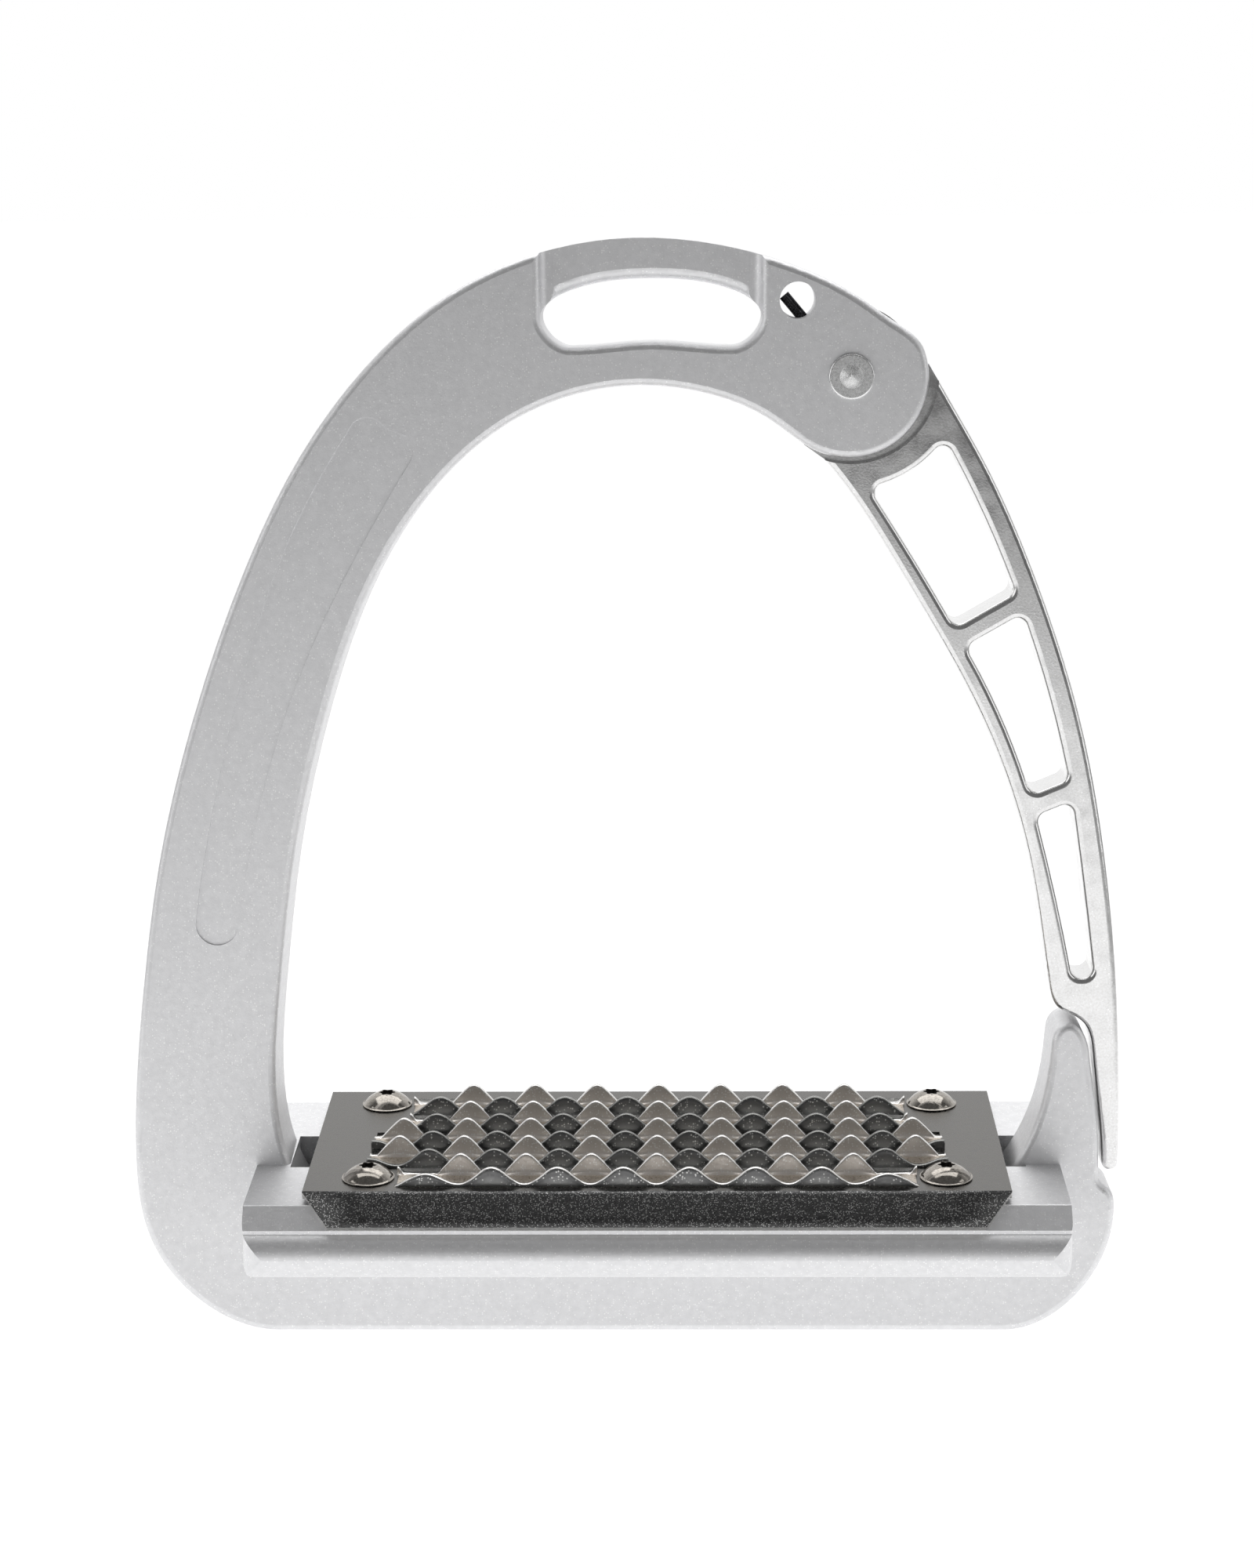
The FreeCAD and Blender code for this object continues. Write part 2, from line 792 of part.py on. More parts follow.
def thrust_washer(side):
    """A thin washer in the gap between the arm's head and one cheek."""
    middle = (half_gap + half_tongue) / 2 * side
    inner_r = pin_r + running_clear
    outer = rod(inner_r + washer_wall, middle - washer_thick / 2, middle + washer_thick / 2, polar(0, 0))
    return outer.cut(rod(inner_r, -half_frame, half_frame, polar(0, 0)))


def tooth_chain(centres, heights, base_v):
    """The outline of one row of teeth, drawn in the X, v plane."""
    root_v = base_v - sheet * 0.8
    start = centres[0] - tooth_foot / 2 - 0.5
    end = centres[-1] + tooth_foot / 2 + 0.5
    here = at(start, base_v)
    edges = [line(at(start, root_v), here)]
    for centre, height in zip(centres, heights):
        foot = tooth_foot / 2 * height / tooth_height
        slope = math.atan2(height, foot)
        round_v = base_v + height - tooth_tip_r
        across = tooth_tip_r * math.sin(slope)
        rise = tooth_tip_r * math.cos(slope)
        edges.append(line(here, at(centre - foot, base_v)))
        edges.append(line(at(centre - foot, base_v), at(centre - across, round_v + rise)))
        edges.append(
            arc(
                at(centre - across, round_v + rise),
                at(centre, base_v + height),
                at(centre + across, round_v + rise),
            )
        )
        here = at(centre + foot, base_v)
        edges.append(line(at(centre + across, round_v + rise), here))
    edges.append(line(here, at(end, base_v)))
    edges.append(line(at(end, base_v), at(end, root_v)))
    edges.append(line(at(end, root_v), at(start, root_v)))
    return edges


def tooth_row(count, front_u, end_scale):
    """One upright row of teeth; the two end ones can be lower."""
    centres = [(i - (count - 1) / 2) * tooth_pitch for i in range(count)]
    heights = [tooth_height] * count
    heights[0] = heights[-1] = tooth_height * end_scale
    face = Part.Face(Part.Wire(tooth_chain(centres, heights, plate_top)))
    row = face.extrude(Vector(0, tooth_wall, 0))
    row.translate(Vector(0, front_u, 0))
    return row


def grip_plate():
    """The pierced sheet, with its teeth pressed up in rows and a sloping flange front and rear."""
    slope = math.radians(flange_slope)
    reach = flange_drop / math.tan(slope)
    inner_bend = plate_bend - sheet * math.tan(slope / 2)
    tip = Vector(0, plate_bend + reach, plate_top - flange_drop)
    tip_inner = tip - Vector(0, math.sin(slope), math.cos(slope)) * sheet
    outline = [
        Vector(0, -plate_bend, plate_top),
        Vector(0, plate_bend, plate_top),
        tip,
        tip_inner,
        Vector(0, inner_bend, land_height),
        Vector(0, -inner_bend, land_height),
        Vector(0, -tip_inner.y, tip_inner.z),
        Vector(0, -tip.y, tip.z),
    ]
    plate = Part.Face(Part.Wire(polygon(outline))).extrude(Vector(2 * plate_half, 0, 0))
    plate.translate(Vector(-plate_half, 0, 0))
    for end in (-1, 1):
        for side in (-1, 1):
            clip = polygon([
                Vector(end * plate_half, side * plate_bend, -10),
                Vector(end * (plate_half + 5), side * plate_bend, -10),
                Vector(end * (plate_half + 5), side * (plate_bend + 8), -10),
                Vector(end * (plate_half - flange_clip * 8 / reach), side * (plate_bend + 8), -10),
            ])
            plate = plate.cut(Part.Face(Part.Wire(clip)).extrude(Vector(0, 0, 20)))

    rows = []
    slots = []
    for i, count in enumerate(light_teeth):
        light_u = first_row - i * row_pitch
        dark_u = light_u - row_land
        half_slot = max(count, dark_teeth) * tooth_pitch / 2 - slot_margin
        gap = row_pitch - row_land - tooth_wall
        slots.append(Part.makeBox(2 * half_slot, gap, 4, Vector(-half_slot, light_u + tooth_wall, -1)))
        rows.append(tooth_row(count, light_u, 1.0))
        end_scale = 0.55 if i == len(light_teeth) - 1 else 1.0
        rows.append(tooth_row(dark_teeth, dark_u, end_scale))
    front = first_row - (len(light_teeth) - 1) * row_pitch - row_land
    half_slot = dark_teeth * tooth_pitch / 2 - slot_margin
    slots.append(Part.makeBox(2 * half_slot, 0.6, 4, Vector(-half_slot, front - 0.6, -1)))
    for slot in slots:
        plate = plate.cut(slot)
    plate = plate.fuse(rows)
    for name, x, u in screw_places():
        plate = plate.cut(Part.makeCylinder(screw_r + screw_hole_clear, 6, Vector(x, u, -2)))
    return on_tread(plate.removeSplitter())


def grip_screw(x, u):
    """A button-head screw with a hexagon socket."""
    rise = screw_head_height
    dome_r = (screw_head_r ** 2 + rise ** 2) / (2 * rise)
    base = Vector(x, u, plate_top)
    dome = Part.makeSphere(dome_r, base + Vector(0, 0, rise - dome_r))
    head = dome.common(Part.makeCylinder(screw_head_r, rise + 1, base))
    length = screw_deep - 0.5 + plate_top
    shank = Part.makeCylinder(screw_r, length, base - Vector(0, 0, length))
    corner = Vector(socket_flat / math.sqrt(3), 0, rise - socket_depth)
    turn = FreeCAD.Rotation(Vector(0, 0, 1), 60)
    hexagon = []
    for _ in range(6):
        hexagon.append(base + corner)
        corner = turn.multVec(corner)
    socket = Part.Face(Part.Wire(polygon(hexagon))).extrude(Vector(0, 0, socket_depth + 1))
    return on_tread(head.fuse(shank).cut(socket))


save(main_frame(), "main_frame")
save(release_arm(), "release_arm")
save(return_spring(), "return_spring")
save(hinge_pin(), "hinge_pin")
save(hinge_bush(), "hinge_bush")
save(thrust_washer(-1), "thrust_washer_front")
save(thrust_washer(1), "thrust_washer_rear")
save(grip_plate(), "grip_plate")
for name, x, u in screw_places():
    save(grip_screw(x, u), "grip_screw_" + name)
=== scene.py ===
import bpy
import bmesh
import json
import math
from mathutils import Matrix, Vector


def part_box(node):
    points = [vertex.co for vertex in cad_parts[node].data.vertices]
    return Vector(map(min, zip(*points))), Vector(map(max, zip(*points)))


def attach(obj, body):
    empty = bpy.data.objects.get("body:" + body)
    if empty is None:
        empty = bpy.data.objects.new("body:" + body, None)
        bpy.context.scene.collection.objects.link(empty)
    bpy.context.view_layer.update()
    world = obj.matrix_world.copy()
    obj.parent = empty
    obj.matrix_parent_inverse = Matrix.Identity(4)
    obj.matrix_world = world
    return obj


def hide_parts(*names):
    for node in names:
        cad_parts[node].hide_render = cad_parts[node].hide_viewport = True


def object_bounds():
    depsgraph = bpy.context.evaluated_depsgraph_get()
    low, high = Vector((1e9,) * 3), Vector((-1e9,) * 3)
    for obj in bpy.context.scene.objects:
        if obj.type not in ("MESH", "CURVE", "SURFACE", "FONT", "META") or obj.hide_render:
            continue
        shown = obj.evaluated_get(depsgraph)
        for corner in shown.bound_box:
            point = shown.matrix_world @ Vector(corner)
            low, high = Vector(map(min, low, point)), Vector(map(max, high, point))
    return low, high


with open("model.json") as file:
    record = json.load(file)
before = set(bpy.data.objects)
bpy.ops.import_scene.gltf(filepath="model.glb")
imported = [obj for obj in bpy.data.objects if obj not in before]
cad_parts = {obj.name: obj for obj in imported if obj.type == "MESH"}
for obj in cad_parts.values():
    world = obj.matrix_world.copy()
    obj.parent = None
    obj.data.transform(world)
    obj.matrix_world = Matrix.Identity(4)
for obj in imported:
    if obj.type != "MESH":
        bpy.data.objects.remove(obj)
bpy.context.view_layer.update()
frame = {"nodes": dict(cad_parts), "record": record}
nodes = frame["nodes"]
mm = 0.001
print("frame loaded:", len(nodes), "pieces")


def newMaterial(name):
    mat = bpy.data.materials.new(name)
    mat.use_nodes = True
    tree = mat.node_tree
    tree.nodes.clear()
    out = tree.nodes.new("ShaderNodeOutputMaterial")
    skin = tree.nodes.new("ShaderNodeBsdfPrincipled")
    tree.links.new(skin.outputs["BSDF"], out.inputs["Surface"])
    return mat, tree, skin


def millimetres(tree, stretch=(1, 1, 1)):
    # object coordinates in millimetres, so every texture size below reads as a real size
    coord = tree.nodes.new("ShaderNodeTexCoord")
    scale = tree.nodes.new("ShaderNodeVectorMath")
    scale.operation = "MULTIPLY"
    scale.inputs[1].default_value = [1000 * s for s in stretch]
    tree.links.new(coord.outputs["Object"], scale.inputs[0])
    return scale.outputs[0]


def noise(tree, where, size, detail=3.0, rough=0.5):
    tex = tree.nodes.new("ShaderNodeTexNoise")
    tex.inputs["Scale"].default_value = 1.0 / size
    tex.inputs["Detail"].default_value = detail
    tex.inputs["Roughness"].default_value = rough
    tree.links.new(where, tex.inputs["Vector"])
    return tex.outputs["Fac"]


def remap(tree, value, low, high, toLow, toHigh):
    node = tree.nodes.new("ShaderNodeMapRange")
    node.inputs["From Min"].default_value = low
    node.inputs["From Max"].default_value = high
    node.inputs["To Min"].default_value = toLow
    node.inputs["To Max"].default_value = toHigh
    tree.links.new(value, node.inputs["Value"])
    return node.outputs["Result"]


def mixColour(tree, factor, first, second):
    node = tree.nodes.new("ShaderNodeMix")
    node.data_type = "RGBA"
    tree.links.new(factor, node.inputs["Factor"])
    for socket, colour in ((node.inputs[6], first), (node.inputs[7], second)):
        if hasattr(colour, "node"):
            tree.links.new(colour, socket)
        else:
            socket.default_value = (*colour, 1.0)
    return node.outputs[2]


def glintDots(tree, where, size, share):
    # painted glints: sparse bright dots in the base colour, one random value for each cell, and a round
    # dot in the few that pass
    cell = tree.nodes.new("ShaderNodeTexVoronoi")
    cell.inputs["Scale"].default_value = 1.0 / size
    tree.links.new(where, cell.inputs["Vector"])
    pick = tree.nodes.new("ShaderNodeSeparateColor")
    tree.links.new(cell.outputs["Color"], pick.inputs[0])
    chosen = remap(tree, pick.outputs[0], 1 - share, 1 - share + 0.02, 0, 1)
    spot = remap(tree, cell.outputs["Distance"], 0.25, 0.5, 1, 0)
    both = tree.nodes.new("ShaderNodeMath")
    both.operation = "MULTIPLY"
    tree.links.new(chosen, both.inputs[0])
    tree.links.new(spot, both.inputs[1])
    return both.outputs[0]


def bump(tree, skin, height, distance, strength=1.0):
    node = tree.nodes.new("ShaderNodeBump")
    node.inputs["Distance"].default_value = distance
    node.inputs["Strength"].default_value = strength
    tree.links.new(height, node.inputs["Height"])
    tree.links.new(node.outputs["Normal"], skin.inputs["Normal"])
    return node


castSatin = {
    "face": (0.86, 0.86, 0.87),
    "shade": (0.81, 0.81, 0.82),
    "glint": (1.0, 1.0, 1.0),
    "roughLow": 0.46,
    "roughHigh": 0.58,
}


def makeCastSatin():
    mat, tree, skin = newMaterial("castSatin")
    where = millimetres(tree)
    cloud = noise(tree, where, 1.1, 4)
    fine = noise(tree, where, 0.28, 2)
    dots = glintDots(tree, where, 0.3, 0.16)
    base = mixColour(tree, remap(tree, cloud, 0.35, 0.68, 0, 1), castSatin["shade"], castSatin["face"])
    # the bright dots mixed into the base colour are painted glints
    base = mixColour(tree, dots, base, castSatin["glint"])
    tree.links.new(base, skin.inputs["Base Color"])
    skin.inputs["Metallic"].default_value = 1.0
    rough = remap(tree, fine, 0.3, 0.7, castSatin["roughLow"], castSatin["roughHigh"])
    tree.links.new(rough, skin.inputs["Roughness"])
    bump(tree, skin, fine, 0.00003, 0.5)
    return mat


armMetal = {
    "face": (0.86, 0.86, 0.86),
    "shade": (0.74, 0.735, 0.73),
    "roughLow": 0.10,
    "roughHigh": 0.26,
}


def makeArmMetal():
    mat, tree, skin = newMaterial("armMetal")
    where = millimetres(tree)
    cloud = noise(tree, where, 3.0, 4)
    fine = noise(tree, where, 0.35, 3, 0.6)
    dots = glintDots(tree, where, 0.28, 0.07)
    base = mixColour(tree, remap(tree, fine, 0.3, 0.7, 0, 1), armMetal["shade"], armMetal["face"])
    # the white dots mixed into the base colour are painted glints
    base = mixColour(tree, dots, base, (0.96, 0.96, 0.96))
    tree.links.new(base, skin.inputs["Base Color"])
    skin.inputs["Metallic"].default_value = 1.0
    rough = remap(tree, cloud, 0.3, 0.7, armMetal["roughLow"], armMetal["roughHigh"])
    tree.links.new(rough, skin.inputs["Roughness"])
    bump(tree, skin, fine, 0.00002, 0.35)
    return mat


def makeSteel(name, colour, darker, rough, ringSize=0.35):
    # turned or polished steel with faint lines
    mat, tree, skin = newMaterial(name)
    where = millimetres(tree)
    lines = noise(tree, where, ringSize, 4, 0.6)
    base = mixColour(tree, remap(tree, lines, 0.3, 0.7, 0, 1), darker, colour)
    tree.links.new(base, skin.inputs["Base Color"])
    skin.inputs["Metallic"].default_value = 1.0
    tree.links.new(remap(tree, lines, 0.3, 0.7, rough * 0.7, rough * 1.3), skin.inputs["Roughness"])
    bump(tree, skin, lines, 0.00001, 0.3)
    return mat


def makeToothSteel(name, low, high, glint, rough, share):
    # painted light: the tone changes from the foot of a tooth to its tip, and the bright dots are
    # painted glints
    mat, tree, skin = newMaterial(name)
    where = millimetres(tree)
    rise = tree.nodes.new("ShaderNodeAttribute")
    rise.attribute_name = "rise"
    fine = noise(tree, where, 0.3, 3, 0.6)
    dots = glintDots(tree, where, 0.34, share)
    base = mixColour(tree, remap(tree, rise.outputs["Fac"], 0.1, 0.75, 0, 1), low, high)
    base = mixColour(tree, dots, base, glint)
    tree.links.new(base, skin.inputs["Base Color"])
    skin.inputs["Metallic"].default_value = 1.0
    tree.links.new(remap(tree, fine, 0.3, 0.7, rough * 0.8, rough * 1.25), skin.inputs["Roughness"])
    bump(tree, skin, fine, 0.00003, 0.6)
    return mat


def makeShadedFlangeSteel():
    # the bent-down edge: its near-black base is painted shade, and the many bright dots are painted
    # glints
    mat, tree, skin = newMaterial("shadedFlangeSteel")
    where = millimetres(tree)
    fine = noise(tree, where, 0.22, 3, 0.7)
    dots = glintDots(tree, where, 0.20, 0.42)
    base = mixColour(tree, remap(tree, fine, 0.35, 0.65, 0, 1), (0.05, 0.05, 0.05), (0.13, 0.13, 0.13))
    base = mixColour(tree, dots, base, (0.62, 0.62, 0.61))
    tree.links.new(base, skin.inputs["Base Color"])
    skin.inputs["Metallic"].default_value = 1.0
    skin.inputs["Roughness"].default_value = 0.42
    bump(tree, skin, fine, 0.00004, 0.8)
    return mat


castSatinMat = makeCastSatin()
armMetalMat = makeArmMetal()
pinMat = makeSteel("pinSteel", (0.94, 0.94, 0.94), (0.90, 0.90, 0.90), 0.26)
screwMat = makeSteel("screwSteel", (0.46, 0.43, 0.39), (0.28, 0.26, 0.235), 0.12)
# the socket is coloured near black: painted shade in the recess
socketShadeMat = makeSteel("screwSocketShade", (0.10, 0.09, 0.08), (0.02, 0.02, 0.02), 0.5)
plateMat = makeSteel("plateSteel", (0.16, 0.155, 0.145), (0.12, 0.115, 0.11), 0.28, 1.5)
landMat = makeSteel("landSteel", (0.62, 0.56, 0.49), (0.40, 0.36, 0.31), 0.32)
# the near-white cut edges are a painted highlight, and the grey dim edge is a painted shade copy of
# them
highlightEdgeMat = makeSteel("cutEdgeHighlight", (0.95, 0.94, 0.92), (0.70, 0.69, 0.67), 0.22)
shadedFlangeMat = makeShadedFlangeSteel()
shadedEdgeMat = makeSteel("shadedEdge", (0.34, 0.34, 0.33), (0.20, 0.20, 0.19), 0.26)
# lit and shaded tones of one sheet: the light row's colours are painted light and the dark row's
# painted shade; the third colour of each is the painted glint
litTooth = ((0.88, 0.82, 0.76), (0.76, 0.70, 0.64), (1.0, 0.97, 0.93))
shadedTooth = ((0.55, 0.55, 0.54), (0.16, 0.16, 0.16), (0.7, 0.7, 0.68))
litToothMat = makeToothSteel("litTooth", *litTooth, 0.46, 0.4)
shadedToothMat = makeToothSteel("shadedTooth", *shadedTooth, 0.36, 0.25)
wireMat = makeSteel("springWire", (0.10, 0.10, 0.11), (0.03, 0.03, 0.03), 0.25)
bushMat = makeSteel("bushMetal", (0.72, 0.56, 0.28), (0.55, 0.42, 0.2), 0.3)


def dress(node, mat):
    mesh = nodes[node].data
    mesh.materials.clear()
    mesh.materials.append(mat)


dress("main_frame", castSatinMat)
dress("release_arm", armMetalMat)
dress("hinge_pin", pinMat)
dress("hinge_bush", bushMat)
dress("thrust_washer_front", bushMat)
dress("thrust_washer_rear", bushMat)
dress("return_spring", wireMat)
print("metals on")


def addPiece(name, mesh, body, slotName, *stoodFor):
    piece = bpy.data.objects.new(name, mesh)
    bpy.context.scene.collection.objects.link(piece)
    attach(piece, body)
    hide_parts(*stoodFor)
    return piece


# x runs along the plate, u back along its lean, w square to its top face
gripPlate = {
    "lean": 4.2,
    "halfLength": 55.3,
    "sheet": 1.2,
    "bendAt": 23.7,
    "bendRadius": 1.0,
    "flangeSlope": 46.5,
    "flangeRun": 5.5,
    "flangeClip": 4.2,
    "pitch": 10.33,
    "rearRow": 17.2,
    "rowPitch": 8.25,
    "landDepth": 5.6,
    "lightCounts": (7, 7, 9, 9, 7),
    "darkCount": 8,
    "toothHalf": 3.6,
    "toothRise": 3.0,
    "toothTip": 1.05,
    "waveRise": 2.6,
    "waveSharp": 1.15,
    "valley": 0.3,
    "endFade": 1.6,
    "frontSlot": 0.6,
    "slotEnd": 0.6,
    "tabEnd": 0.3,
    "endTooth": 0.36,
    "endWave": 0.5,
    "lastWave": 0.6,
    "tab": 1.0,
    "xStep": 0.3,
}
treadPoint = Vector([m for m in frame["record"]["mounts"] if m["name"] == "tread"][0]["pos_m"])
lean = math.radians(gripPlate["lean"])


def onPlate(x, u, w):
    return Vector((
        treadPoint.x + x * mm,
        treadPoint.y + (u * math.cos(lean) - w * math.sin(lean)) * mm,
        treadPoint.z + (u * math.sin(lean) + w * math.cos(lean)) * mm,
    ))


def softMax(value, soft):
    return 0.5 * (value + math.sqrt(value * value + soft * soft))


def lightHeight(x, teeth):
    # rounded triangles standing on a flat land
    tip, half = gripPlate["toothTip"], gripPlate["toothHalf"]
    best = 0.0
    for centre, scale in teeth:
        away = abs(x - centre) / scale
        fall = (math.hypot(away, tip) - tip) / (math.hypot(half, tip) - tip)
        best = max(best, softMax(gripPlate["toothRise"] * scale * (1 - fall), 0.25))
    return best


def darkHeight(x, teeth):
    # a wave whose valleys stay a little above the land
    best = 0.0
    for centre, scale in teeth:
        away = min(abs(x - centre) / (gripPlate["pitch"] * 0.5), 1.0)
        crest = (0.5 + 0.5 * math.cos(math.pi * away)) ** gripPlate["waveSharp"]
        best = max(best, gripPlate["waveRise"] * scale * crest)
    return best


plateMats = {
    "top": plateMat,
    "flange": shadedFlangeMat,
    "land": landMat,
    "edge": highlightEdgeMat,
    "light": litToothMat,
    "dark": shadedToothMat,
    "dim": shadedEdgeMat,
}
slotOf = {name: index for index, name in enumerate(plateMats)}


def addTab(bm, layer, heightAt, halfRun, section, valley, face, rim):
    steps = int(2 * halfRun / gripPlate["xStep"])
    last = None
    for i in range(steps + 1):
        x = -halfRun + 2 * halfRun * i / steps
        fade = min(1.0, (halfRun - abs(x)) / gripPlate["endFade"])
        h = heightAt(x) + valley * fade
        ring = []
        for u, w, rise in section(h):
            vert = bm.verts.new(onPlate(x, u, w))
            vert[layer] = rise
            ring.append(vert)
        if last:
            count = len(ring)
            for k in range(count):
                after = (k + 1) % count
                quad = bm.faces.new((last[k], ring[k], ring[after], last[after]))
                quad.smooth = True
                # the back and underside of each tab take the dark tooth material, whose tones are
                # painted shade
                quad.material_index = slotOf[face if k < 7 else rim if k < 11 else "dark"]
        else:
            bm.faces.new(ring)
        last = ring
    bm.faces.new(list(reversed(last)))


def rimPoints(topU, h):
    # the cut edge along the top of a tab, a little crowned
    tab = gripPlate["tab"]
    lip = min(0.22, 0.3 * h + 0.02)
    return [
        (topU + lip * 0.5, h + lip * 0.6, 1.0),
        (topU + tab * 0.5, h + lip * 0.8, 1.0),
        (topU + tab - lip * 0.5, h + lip * 0.5, 1.0),
        (topU + tab, h - 0.1, 0.8),
    ]


def lightSection(front):
    # front face from the land up, leaning back a little, then the rim and the back
    def section(h):
        tab = gripPlate["tab"]
        points = [(front - 0.75, -0.06, 0.0)]
        for k in range(1, 8):
            t = k / 7
            curve = -0.5 * (1 - min(t * h / 0.6, 1.0)) ** 2 if h > 0.05 else -0.5 * (1 - t)
            points.append((front + curve + 0.12 * t * h, -0.06 * (1 - t) + h * t, t))
        points += rimPoints(front + 0.12 * h, h)
        points.append((front + tab, -gripPlate["sheet"] * 0.9, 0.0))
        points.append((front - 0.4, -gripPlate["sheet"] * 0.9, 0.0))
        return points
    return section


def darkSection(front):
    # outer side of the bend at the foot, a plain face, the rim, then down to the land
    def section(h):
        tab = gripPlate["tab"]
        under = -gripPlate["sheet"]
        points = [(front + 1.2, under - 0.05, 0.0)]
        for k in range(1, 8):
            t = k / 7
            w = under + (h - under) * t
            curl = 0.9 * max(0.0, 1 - (w - under) / 1.2) ** 2
            points.append((front + curl + 0.03 * w, w, t))
        points += rimPoints(front + 0.03 * h, h)
        points.append((front + tab + 0.1, 0.2 * min(h, 1.0), 0.2))
        points.append((front + tab + 0.6, -0.06, 0.0))
        return points
    return section


def flangeProfile(side):
    # stations past the bend: (u, w) of the outer face and of the inner face
    slope = math.radians(gripPlate["flangeSlope"])
    r, t = gripPlate["bendRadius"], gripPlate["sheet"]
    start = gripPlate["bendAt"] - r * math.tan(slope / 2)
    stations = []
    for k in range(6):
        turn = slope * k / 5
        outer = (start + r * math.sin(turn), r * math.cos(turn) - r)
        inner = (outer[0] - t * math.sin(turn) * 0.8, outer[1] - t * math.cos(turn))
        stations.append((outer, inner))
    (outerU, outerW), (innerU, innerW) = stations[-1]
    for k in range(1, 4):
        run = gripPlate["flangeRun"] * k / 3
        du, dw = run * math.cos(slope), -run * math.sin(slope)
        stations.append(((outerU + du, outerW + dw), (innerU + du, innerW + dw)))
    return [((side * o[0], o[1]), (side * i[0], i[1])) for o, i in stations]


def plateRows():
    # the light rows as (front, tooth count, half length), and the slots cut in the sheet
    plate = gripPlate
    gap = plate["rowPitch"] - plate["landDepth"] - plate["tab"]
    rows, slots = [], []
    for i, count in enumerate(plate["lightCounts"]):
        front = plate["rearRow"] - i * plate["rowPitch"]
        half = max(count, plate["darkCount"]) * plate["pitch"] / 2 - plate["slotEnd"]
        rows.append((front, count, half))
        slots.append((front + plate["tab"], front + plate["tab"] + gap, half))
    lastFront = rows[-1][0] - plate["landDepth"]
    half = plate["darkCount"] * plate["pitch"] / 2 - plate["slotEnd"]
    slots.append((lastFront - plate["frontSlot"], lastFront, half))
    return rows, slots


def addSheet(bm, rows, slots):
    # the flat sheet and both flanges, cell by cell, with the slots left out
    plate = gripPlate
    xBreaks = {-plate["halfLength"], plate["halfLength"]}
    uBreaks = set()
    for u0, u1, half in slots:
        uBreaks |= {round(u0, 3), round(u1, 3)}
        xBreaks |= {round(-half, 3), round(half, 3)}
    for front, _, _ in rows:
        uBreaks |= {round(front, 3), round(front - plate["landDepth"] + plate["tab"], 3)}
    xBreaks = sorted(xBreaks)
    front, rear = flangeProfile(-1), flangeProfile(1)
    lines = [(outer, inner, True) for outer, inner in reversed(front)]
    lines += [((u, 0.0), (u, -plate["sheet"]), False) for u in sorted(uBreaks)]
    lines += [(outer, inner, True) for outer, inner in rear]
    farU = abs(front[-1][0][0])
    tops, bottoms = [], []
    for outer, inner, _ in lines:
        past = max(0.0, (abs(outer[0]) - plate["bendAt"]) / (farU - plate["bendAt"]))
        clip = plate["flangeClip"] * past
        ends = [x if abs(x) < plate["halfLength"] else math.copysign(abs(x) - clip, x) for x in xBreaks]
        tops.append([bm.verts.new(onPlate(x, *outer)) for x in ends])
        bottoms.append([bm.verts.new(onPlate(x, *inner)) for x in ends])

    def middle(row, column):
        u = (lines[row][0][0] + lines[row + 1][0][0]) / 2
        return u, abs(xBreaks[column] + xBreaks[column + 1]) / 2

    def solid(row, column):
        if row < 0 or column < 0 or row >= len(lines) - 1 or column >= len(xBreaks) - 1:
            return False
        u, x = middle(row, column)
        return not any(u0 < u < u1 and x < half for u0, u1, half in slots)

    def cellName(row, column):
        if lines[row][2] and lines[row + 1][2]:
            return "flange"
        u, x = middle(row, column)
        onLand = any(f - plate["landDepth"] < u < f and x < half for f, _, half in rows)
        return "land" if onLand else "top"

    def addFace(verts, name):
        face = bm.faces.new(verts)
        face.material_index = slotOf[name]
        face.smooth = name == "flange"

    for row in range(len(lines) - 1):
        for column in range(len(xBreaks) - 1):
            if not solid(row, column):
                continue
            corners = [(row, column), (row, column + 1), (row + 1, column + 1), (row + 1, column)]
            beside = [(row - 1, column), (row, column + 1), (row + 1, column), (row, column - 1)]
            addFace([tops[i][j] for i, j in corners], cellName(row, column))
            addFace([bottoms[i][j] for i, j in reversed(corners)], "top")
            for k, neighbour in enumerate(beside):
                if not solid(*neighbour):
                    (i, j), (m, n) = corners[k], corners[(k + 1) % 4]
                    addFace([tops[m][n], tops[i][j], bottoms[i][j], bottoms[m][n]], "edge")


def evenTeeth(count):
    return [((i - (count - 1) / 2) * gripPlate["pitch"], 1.0) for i in range(count)]


def addRow(bm, layer, frontU, count, half, foremost):
    # one light row and the dark row in front of it, with a low part tooth at each end
    plate = gripPlate
    light, dark = evenTeeth(count), evenTeeth(plate["darkCount"])
    if count < plate["darkCount"]:
        edge = (count + 1) / 2 * plate["pitch"]
        light += [(-edge, plate["endTooth"]), (edge, plate["endTooth"])]
    else:
        edge = (plate["darkCount"] + 1) / 2 * plate["pitch"]
        dark += [(-edge, plate["endWave"]), (edge, plate["endWave"])]
    if foremost:
        for i in (0, plate["darkCount"] - 1):
            dark[i] = (dark[i][0], plate["lastWave"])
    run = half + plate["tabEnd"]
    darkU = frontU - plate["landDepth"]
    # the foremost dark row's rim takes the painted highlight edge, the rims behind it the painted shade
    # copy
    darkRim = "edge" if foremost else "dim"
    addTab(bm, layer, lambda x: lightHeight(x, light), run, lightSection(frontU), 0.0, "light", "edge")
    wave = darkSection(darkU)
    addTab(bm, layer, lambda x: darkHeight(x, dark), run, wave, plate["valley"], "dark", darkRim)


